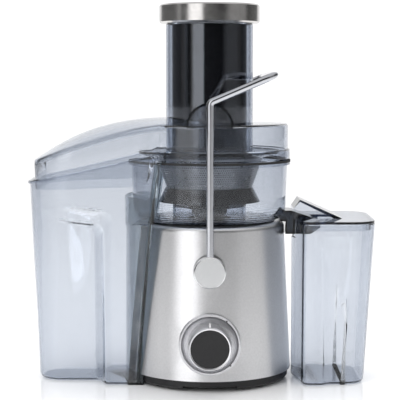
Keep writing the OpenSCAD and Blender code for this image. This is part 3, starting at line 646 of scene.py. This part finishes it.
def settle(moved, points):
    """Brings together neighbours that have crossed over in a tight bend."""
    for at in range(len(points)):
        first, second = moved[at - 1], moved[at]
        run = [points[at][axis] - points[at - 1][axis] for axis in (0, 1)]
        gone = (second[0] - first[0]) * run[0] + (second[1] - first[1]) * run[1]
        if gone <= 0:
            for axis in (0, 1):
                middle = (first[axis] + second[axis]) / 2
                first[axis], second[axis] = middle - 0.02 * run[axis], middle + 0.02 * run[axis]


def unit(x, y):
    length = math.hypot(x, y) or 1.0
    return x / length, y / length


def mirrored(half):
    """A closed outline from its rear half, which runs from y = 0 round to y = 0."""
    return half + [(x, -y, z) for x, y, z in reversed(half[1:-1])]


def shell(name, outline, levels, rim, wall, fillet, lip_out=0.0, lip_high=3.0, lip_gaps=None):
    """A thin-walled box open at the top. outline(z) gives a closed loop at a height, levels the
    heights between floor and rim, and rim(x, y) the height of the rim. The lip stands out by
    lip_out times its gap at each point, and its edges are rounded by EDGE."""
    floor = levels[0]
    bends = [math.radians(angle) for angle in range(0, 91, 15)]
    loops = []
    for bend in bends:
        height = floor + fillet * (1 - math.cos(bend))
        loops.append(inset(outline(height), fillet * (1 - math.sin(bend))))

    def stretched(height, gaps, below):
        return inset(lifted(outline, height, levels, rim, below), gaps)

    tops = [height for height in levels if height > floor + fillet]
    for height in tops:
        loops.append(stretched(height, 0.0, lip_high))
    out = [-lip_out * gap for gap in (lip_gaps or [1.0] * len(loops[0]))]
    top = levels[-1]
    loops.append(stretched(top, out, lip_high))
    loops.append(stretched(top, out, EDGE))
    loops.append(stretched(top, [gap + EDGE for gap in out], 0.0))
    loops.append(stretched(top, wall - EDGE, 0.0))
    loops.append(stretched(top, wall, EDGE))
    for height in reversed(tops[:-1]):
        loops.append(stretched(height, wall, EDGE))
    inner = max(1.0, fillet - wall)
    for bend in reversed(bends):
        height = floor + wall + inner * (1 - math.cos(bend))
        loops.append(inset(outline(height), wall + inner * (1 - math.sin(bend))))
    return loft(name, loops)


def lifted(outline, height, levels, rim, below):
    """The outline at a level; above the last level but five the levels are spread up to the rim."""
    top, knee = levels[-1], levels[-6]
    if height <= knee:
        return outline(height)
    share = (height - knee) / (top - knee)
    known = {}
    points = []
    for at, (x, y, _) in enumerate(outline(height)):
        z = knee + share * (rim(x, y) - below - knee)
        lift = round(z, 1)
        if lift not in known:
            known[lift] = outline(lift)
        points.append((*known[lift][at][:2], z))
    return points


# ------------------------------------------------------------------ pulp bin

def bin_sizes(z):
    """Half width, far end and corner radius of the bin's wide body at a height."""
    share = (z - BIN_FLOOR) / (BIN_FORM_TOP - BIN_FLOOR)
    far = between(BIN_END - 7.0, BIN_END + 0.3, share)
    return between(49.0, 76.0, share), far, between(39.0, 48.0, share)


def grip_sizes(z):
    """The same for the narrower part that a hand grips."""
    share = min(1.0, (z - BIN_FLOOR) / (GRIP_TOP + 4 - BIN_FLOOR))
    far = between(BIN_END - 7.0, BIN_END - 1.6, share)
    return between(28.0, 52.0, share), far, between(26.0, 40.0, share)


def corner_point(half, far, bend, start, share):
    """A point on a side that runs straight from start and then turns a corner to the far end."""
    straight = max(0.0, far - bend - start)
    arc = bend * math.pi / 2
    gone = share * (straight + arc)
    if gone < straight:
        return -(start + gone), half
    angle = (gone - straight) / bend
    return -(far - bend + bend * math.sin(angle)), half - bend + bend * math.cos(angle)


def bin_outline(z):
    """The bin's closed outline at a height: round the motor base, along the hand hold, round the end."""
    wide, grip = bin_sizes(z), grip_sizes(z)
    half = wide[0]
    reach = math.asin(half / HUG_R)
    points = [(-HUG_R * math.cos(reach * share), HUG_R * math.sin(reach * share), z) for share in HUG_STOPS]
    turn = wide[1] - wide[2]
    near = -points[-1][0]
    stops = [near + 1.5, near + 5, near + 12, 70, 80, 90, 98, 104]
    stops += [107.5 + 1.25 * step for step in range(13)]
    stops += [between(123.0, turn, share) for share in (0.25, 0.5, 0.75)]
    for x in stops:
        points.append((-x, between(half, grip[0], grip_share(x, z)), z))
    for step in range(0, 19):
        broad = corner_point(half, wide[1], wide[2], turn, step / 18)
        slim = corner_point(grip[0], grip[1], grip[2], turn, step / 18)
        share = grip_share(-broad[0], z)
        points.append((between(broad[0], slim[0], share), between(broad[1], slim[1], share), z))
    last = points[-1]
    points.append((last[0], last[1] * 0.5, z))
    points.append((last[0], 0.0, z))
    return mirrored(points)


def hold_share(along, z, outer, inner):
    """How deep a place lies in a hand hold, from 0 at its outer edge to 1 at its inner one. An edge
    is an upright line, a level line above it and the radius of the corner between them."""
    low, high = 0.0, 1.0
    for _ in range(9):
        share = (low + high) / 2
        edge, top, turn = [between(first, second, share) for first, second in zip(outer, inner)]
        if along < edge + turn and z > top - turn:
            inside = turn - math.hypot(edge + turn - along, z - top + turn)
        else:
            inside = min(along - edge, top - z)
        if inside > 0:
            low = share
        else:
            high = share
    return (1 - math.cos(math.pi * low)) / 2


def grip_share(x, z):
    """How far a place on the bin belongs to its gripped part, from 0 to 1."""
    height = z - 0.15 * (x - 120)
    fade = smooth((x - 128) / 48) * smooth((z - 60) / 105)
    return hold_share(x, height, (109, GRIP_TOP + 4, 8), (122, GRIP_TOP - 3, 15)) * (1 - fade)


def bin_rim(x, y):
    """The rim slopes up towards the axis, and is cut low where the bin passes below the hood's skirt."""
    slope = BIN_FAR_RIM + (BIN_NEAR_RIM - BIN_FAR_RIM) * (BIN_END + x) / (BIN_END - 47.0)
    if math.hypot(x, y) < HUG_R + 3.5:
        return between(BIN_FAR_RIM - 17.0, min(slope, LID_LOW - 1.0), smooth((abs(y) - 66.5) / 1.5))
    return min(slope, between(LID_LOW - 1.0, slope, smooth((-x - 60.5) / 3.5)))


def build_bin():
    ledge = [146, 152, 156] + [159 + 1.25 * step for step in range(17)]
    levels = [BIN_FLOOR, 8, 20, 35, 50, 70, 90, 110, 130] + ledge + [182, 188, 194, 200, 206, 212, 218]
    count = len(bin_outline(50))
    gaps = [1.0 if 16 < min(at, count - at) else 0.0 for at in range(count)]
    return shell("pulp_bin_shell", bin_outline, levels, bin_rim, WALL, 5.0, 2.0, 3.0, gaps)


# ------------------------------------------------------------------ juice jug

def jug_outline(z):
    """The jug's closed outline at a height: nose, notched side, corner, hand hold and far corner."""
    share = (z - BIN_FLOOR) / (JUG_RIM - BIN_FLOOR)
    half = between(54.0, 61.0, share)
    far = JUG_FAR - between(10.0, 0.0, share)
    nose, corner, bend = 24.0, 9.0, 26.0
    nose_at, corner_at = JUG_NEAR + nose, (JUG_NEAR + 17.0, half - corner)
    across = math.hypot(corner_at[0] - nose_at, corner_at[1])
    lean = math.atan2(corner_at[1], corner_at[0] - nose_at) + math.acos((nose - corner) / across)
    points = []
    for step in range(5):
        angle = between(math.pi, lean, step / 4)
        points.append((nose_at + nose * math.cos(angle), nose * math.sin(angle), z))
    last = points[-1]
    first = (corner_at[0] + corner * math.cos(lean), corner_at[1] + corner * math.sin(lean))
    for place in JUG_NOTCH_STOPS:
        part = (place - last[1]) / (first[1] - last[1])
        points.append((between(last[0], first[0], part), place, z))
    for step in range(9):
        angle = between(lean, math.pi / 2, step / 8)
        points.append((corner_at[0] + corner * math.cos(angle), corner_at[1] + corner * math.sin(angle), z))
    hold_stops = [117.5 + 1.25 * step for step in range(12)]
    for x in [108, 112, 115, *hold_stops, 134, 137, 140, 143]:
        points.append((x, half - jug_grip_depth(x, z), z))
    for step in range(0, 15):
        angle = between(math.pi / 2, 0, step / 14)
        x = far - bend + bend * math.cos(angle)
        y = half - bend + bend * math.sin(angle)
        points.append((x, y - jug_grip_depth(x, z) * math.sin(angle), z))
    points.append((far, (half - bend) / 2, z))
    points.append((far, 0.0, z))
    return [(x, -y, z) for x, y, z in mirrored(points)]


def jug_grip_depth(x, z):
    """How deep the hand hold is at a place on the jug's side."""
    fade = smooth((x - 140) / 28) * smooth((z - 60) / 75)
    return 6.5 * hold_share(x, z, (117.5, 155.5, 11), (128.5, 136, 21)) * (1 - fade)


def jug_rim(x, y):
    """The rim is level but for the spout's notch."""
    if x < JUG_NEAR + 30:
        return between(JUG_NOTCH_LOW, JUG_RIM, smooth((abs(y) - JUG_NOTCH_HALF) / 1.5))
    return JUG_RIM


def build_jug():
    levels = [BIN_FLOOR, 8, 20, 35, 50, 65, 80, 92, 98, 104] + [108 + 2 * step for step in range(19)]
    levels += [145.5, 147.5, 149.5, 151.5, 153.5, 156]
    return shell("juice_jug_shell", jug_outline, levels, jug_rim, WALL, 4.0)


# ------------------------------------------------------------------ lid and hood

def bin_half(x, z, gap):
    """Half width of the bin at a distance from the axis and a height, set in by a gap."""
    half, far, bend = bin_sizes(z)
    past = max(0.0, x - far + bend)
    return half - bend + math.sqrt(max(0.0, (bend - gap) ** 2 - past * past))


def hood_heights(u):
    """Drop of the hood's crease and of its crown below the lid's top, u from its far end."""
    crease = 37.5 * max(0.0, 1 - u / 134) ** 1.35
    crown = -6.5 + 43 * max(0.0, 1 - u / 150) ** 2.5
    return crease, crown * (1 - smooth((u - 166) / 68))


def hood_section(x, gap):
    """The hood's outline across, at a distance x from the axis, set in by a gap. Over the bin it keeps
    to the bin's width, and nearer the axis it narrows towards the lid."""
    u = HOOD_END - x
    crease, crown = hood_heights(u)
    crease_z = LID_TOP - crease - gap
    low = (HOOD_LOW + 0.04 * u if x > HOOD_NARROWS else LID_LOW + 2) - (3 if gap else 0)
    low = min(low, crease_z - 1)
    if x < HOOD_NARROWS:
        wide = bin_half(HOOD_NARROWS, crease_z, HOOD_INSIDE + gap)
        half_low = half_high = between(wide, HOOD_NEAR_HALF - gap, smooth((HOOD_NARROWS - x) / 108))
    else:
        half_low = bin_half(x, low, HOOD_INSIDE + gap)
        half_high = bin_half(x, crease_z, HOOD_INSIDE + gap)
    arch = crease - crown
    middle = between(half_low, half_high, 0.5)
    middle_z = between(low, crease_z, 0.5)
    points = [(-x, -half_low, low), (-x, half_low, low), (-x, middle, middle_z)]
    steep = math.atan2(2 * arch, half_high)
    for step in range(25):
        y = half_high * math.cos(math.pi * step / 24)
        z = crease_z + arch * (1 - (y / half_high) ** 2)
        if x > -40:
            off = max(0.0, 1 - (half_high - abs(y)) / HOOD_BEND)
            soft = HOOD_BEND * (1 - math.sqrt(max(0.0, 1 - off ** 2))) * max(0.0, 1 - steep)
            z -= min(soft, z - low - 0.5)
        points.append((-x, y, z))
    points.append((-x, -middle, middle_z))
    return points


def round_loop(radius, z, count=128):
    angles = [2 * math.pi * at / count for at in range(count)]
    return [(radius * math.cos(angle), radius * math.sin(angle), z) for angle in angles]


def cut(piece, tool, operation="DIFFERENCE"):
    """Joins a second solid to a piece or takes it away, and drops it."""
    deselect_all()
    bpy.context.view_layer.objects.active = piece
    piece.select_set(True)
    step = piece.modifiers.new("cut", "BOOLEAN")
    step.operation = operation
    step.solver = "EXACT"
    step.object = tool
    bpy.ops.object.modifier_apply(modifier=step.name)
    bpy.data.objects.remove(tool, do_unlink=True)


def cylinder(name, radius, low, high):
    return loft(name, [round_loop(radius, low), round_loop(radius, high)])


def dome(name, gap):
    """The round part of the lid, with a soft upper edge."""
    turn = LID_BEND - gap
    loops = [round_loop(LID_R - gap, LID_LOW - (1 if gap else 0))]
    loops.append(round_loop(LID_R - gap, LID_LOW + LID_FLANGE))
    for step in range(6):
        angle = math.pi / 2 * step / 5
        loops.append(round_loop(LID_R - LID_BEND + turn * math.cos(angle),
                                LID_TOP - LID_BEND + turn * math.sin(angle)))
    loops.append(round_loop(30, LID_TOP - gap))
    return loft(name, loops)


def hood(name, gap):
    """The hood as a solid, from its far end to the lid's middle."""
    stops = [HOOD_END - gap - u for u in HOOD_STOPS] + list(range(52, -45, -12))
    return loft(name, [hood_section(x, gap) for x in stops])


def saddle(name, side):
    """A thin arched rib between the chute and the lid's edge."""

    def arch(y, radius):
        angles = [math.pi * at / 24 for at in range(25)]
        return [(radius * math.cos(angle), y, LID_TOP - 1 + radius * math.sin(angle)) for angle in angles]

    near, far = side * (CHUTE_R - 8), side * (LID_R - 4)
    whole = loft(name, [arch(near, SADDLE_R), arch(far, SADDLE_R)])
    cut(whole, loft("hollow", [arch(0, SADDLE_R - WALL), arch(far - side * WALL, SADDLE_R - WALL)]))
    cut(whole, cylinder("hollow", CHUTE_R, LID_TOP - 20, LID_TOP + 60))
    return whole


def build_lid():
    """The round lid and the hood are joined, hollowed and opened over the bowl, and get two saddles."""
    lid = dome("lid_shell", 0.0)
    flange_top = LID_LOW + LID_FLANGE
    flange = [round_loop(RIM_R - 1.4, LID_LOW), round_loop(RIM_R - 0.4, LID_LOW + 1),
              round_loop(RIM_R - 0.4, flange_top - 1), round_loop(RIM_R - 1.4, flange_top)]
    cut(lid, loft("flange", flange), "UNION")
    cut(lid, hood("hood", 0.0), "UNION")
    cut(lid, dome("hollow", WALL))
    cut(lid, hood("hollow", WALL))
    cut(lid, cylinder("hollow", HUG_R + 3.0, HOOD_LOW - 10, LID_LOW))
    cut(lid, cylinder("hollow", CHUTE_R, LID_LOW, LID_TOP + 30))
    for side in (-1, 1):
        cut(lid, saddle("saddle", side), "UNION")
    deselect_all()
    lid.select_set(True)
    bpy.context.view_layer.objects.active = lid
    bpy.ops.object.shade_smooth_by_angle(angle=math.radians(28))
    return lid


# ------------------------------------------------------------------ locking arm

def rounded(path, bends):
    """A path whose inner corners are turned with a radius each."""
    points = [path[0]]
    for at, bend in enumerate(bends, 1):
        here = Vector(path[at])
        back, on = (Vector(path[at - 1]) - here).normalized(), (Vector(path[at + 1]) - here).normalized()
        reach = bend / math.tan(back.angle(on) / 2)
        middle = here + (back + on).normalized() * math.hypot(bend, reach)
        start, end = here + back * reach - middle, here + on * reach - middle
        for step in range(9):
            points.append(tuple(middle + start.slerp(end, step / 8) * bend))
    return points + [path[-1]]


def tube(name, path, thick, wide):
    """A rod along a path, with a half height and, at each point of the path, a half width wide(at)."""
    count = 24
    steps = [Vector(point) for point in path]
    side = Vector((0, 1, 0)).cross(steps[1] - steps[0]).normalized()
    loops = []
    for at, here in enumerate(steps):
        along = (steps[min(at + 1, len(steps) - 1)] - steps[max(at - 1, 0)]).normalized()
        side = (side - along * side.dot(along)).normalized()
        other = along.cross(side)
        half = wide(at)
        ring = []
        for turn in range(count):
            angle = 2 * math.pi * turn / count
            ring.append(tuple(here + side * thick * math.cos(angle) + other * half * math.sin(angle)))
        loops.append(ring)
    return loft(name, loops)


def build_arm():
    """One rod, bent at the lid's height and round a flat bar at the tip."""
    reach = BEND_LEN - BAR_WIDE / 2
    tip = (reach * math.cos(ARM_RISE), BEND_Z + reach * math.sin(ARM_RISE))
    front = [(0, -LEG_Y, HUB_Z + 9), (0, -LEG_Y, BEND_Z), (tip[0], -LEG_Y, tip[1])]
    path = front + [(x, -y, z) for x, y, z in reversed(front)]
    points = rounded(path, [5.0, 11.0, 11.0, 5.0])
    half = len(points) // 2
    start, end = Vector(points[half - 1]), Vector(points[half])
    straight = [tuple(start.lerp(end, share)) for share in (0.1, 0.3, 0.7, 0.9)]
    points = points[:half] + straight + points[half:]
    count = len(points)

    def wide(at):
        middle = 1 - abs(at - (count - 1) / 2) / 11
        return between(ROD_R, BAR_WIDE / 2, smooth(middle))

    return tube("locking_arm_rod", points, ROD_R, wide)


# ------------------------------------------------------------------ operators

class JUICER_OT_stage(bpy.types.Operator):
    """Adds the camera, the white room, its lamps and the pale floor"""

    bl_idname = "juicer.stage"
    bl_label = "Studio"

    def execute(self, context):
        context.scene.view_settings.view_transform = "Standard"
        camera()
        studio_room()
        studio_floor()
        softbox("Key lamp", (-1.1, -1.3, 1.1), (0, 0, 0.15), (0.9, 1.4), 14.0)
        softbox("Top lamp", (0.2, 0.1, 1.9), (0, 0, 0.2), (1.6, 1.2), 12.0)
        return {"FINISHED"}


class JUICER_OT_finishes(bpy.types.Operator):
    """Dresses every CAD node in the finish of its slot"""

    bl_idname = "juicer.finishes"
    bl_label = "Finishes"

    def execute(self, context):
        MATERIALS.update(build_materials())
        for part in frame["record"]["subparts"]:
            dress(frame["nodes"][part["node"]], MATERIALS[part["material_slot"]])
        dress(frame["nodes"]["filter_mesh"], perforated_steel("Basket mesh"))
        dress(frame["nodes"]["basket_hub"], plastic("Hub black", (0.006, 0.006, 0.007), 0.12))
        dress(frame["nodes"]["dial_face"], plastic("Matt dial face", (0.012, 0.012, 0.013), 0.5))
        return {"FINISHED"}


class JUICER_OT_pulp_bin(bpy.types.Operator):
    """Makes the pulp bin with its softly stepped grip"""

    bl_idname = "juicer.pulp_bin"
    bl_label = "Pulp bin"

    def execute(self, context):
        look = finish_settings()
        piece = build_bin()
        stand_in(piece, ("pulp_bin",), "bin", "clear_smoke")
        # smoky clear plastic with painted shade, a darker tint on the wall round the motor base
        dress(piece, clear_plastic("Bin smoke and painted shade", CLEAR_TINT, tuple(look.smoke), look.smoke_density,
                                   near=(HUG_R + WALL + 0.3) * MM))
        return {"FINISHED"}


class JUICER_OT_juice_jug(bpy.types.Operator):
    """Makes the juice jug with its hand hold"""

    bl_idname = "juicer.juice_jug"
    bl_label = "Juice jug"

    def execute(self, context):
        stand_in(build_jug(), ("juice_jug",), "jug", "clear_smoke")
        return {"FINISHED"}


class JUICER_OT_lid(bpy.types.Operator):
    """Makes the lid with its long pulp hood"""

    bl_idname = "juicer.lid"
    bl_label = "Lid"

    def execute(self, context):
        stand_in(build_lid(), ("lid_cover",), "lid", "clear_smoke")
        return {"FINISHED"}


class JUICER_OT_arm(bpy.types.Operator):
    """Makes the bent rod of the locking arm"""

    bl_idname = "juicer.arm"
    bl_label = "Locking arm"

    def execute(self, context):
        stand_in(build_arm(), ("arm_leg_front", "arm_leg_rear", "arm_grip_bar"), "locking_arm", "chrome")
        return {"FINISHED"}


class JUICER_PT_panel(bpy.types.Panel):
    """Lists the operators in the sidebar"""

    bl_label = "Centrifugal juicer"
    bl_idname = "JUICER_PT_panel"
    bl_space_type = "VIEW_3D"
    bl_region_type = "UI"
    bl_category = "Juicer"

    def draw(self, context):
        for settings in (context.scene.juicer_finish, context.scene.juicer_studio):
            for label in settings.__annotations__:
                self.layout.prop(settings, label)
        for operator in OPERATORS:
            self.layout.operator(operator.bl_idname)


OPERATORS = (JUICER_OT_stage, JUICER_OT_finishes, JUICER_OT_pulp_bin, JUICER_OT_juice_jug, JUICER_OT_lid,
             JUICER_OT_arm)
SETTINGS = (JuicerFinish, JuicerStudio)


def register():
    for item in (*SETTINGS, *OPERATORS, JUICER_PT_panel):
        bpy.utils.register_class(item)
    bpy.types.Scene.juicer_finish = bpy.props.PointerProperty(type=JuicerFinish)
    bpy.types.Scene.juicer_studio = bpy.props.PointerProperty(type=JuicerStudio)


def unregister():
    del bpy.types.Scene.juicer_studio
    del bpy.types.Scene.juicer_finish
    for item in (JUICER_PT_panel, *reversed(OPERATORS), *reversed(SETTINGS)):
        bpy.utils.unregister_class(item)


def main():
    register()
    bpy.ops.juicer.stage()
    bpy.ops.juicer.finishes()
    bpy.ops.juicer.pulp_bin()
    bpy.ops.juicer.juice_jug()
    bpy.ops.juicer.lid()
    bpy.ops.juicer.arm()


if __name__ == "__main__":
    main()
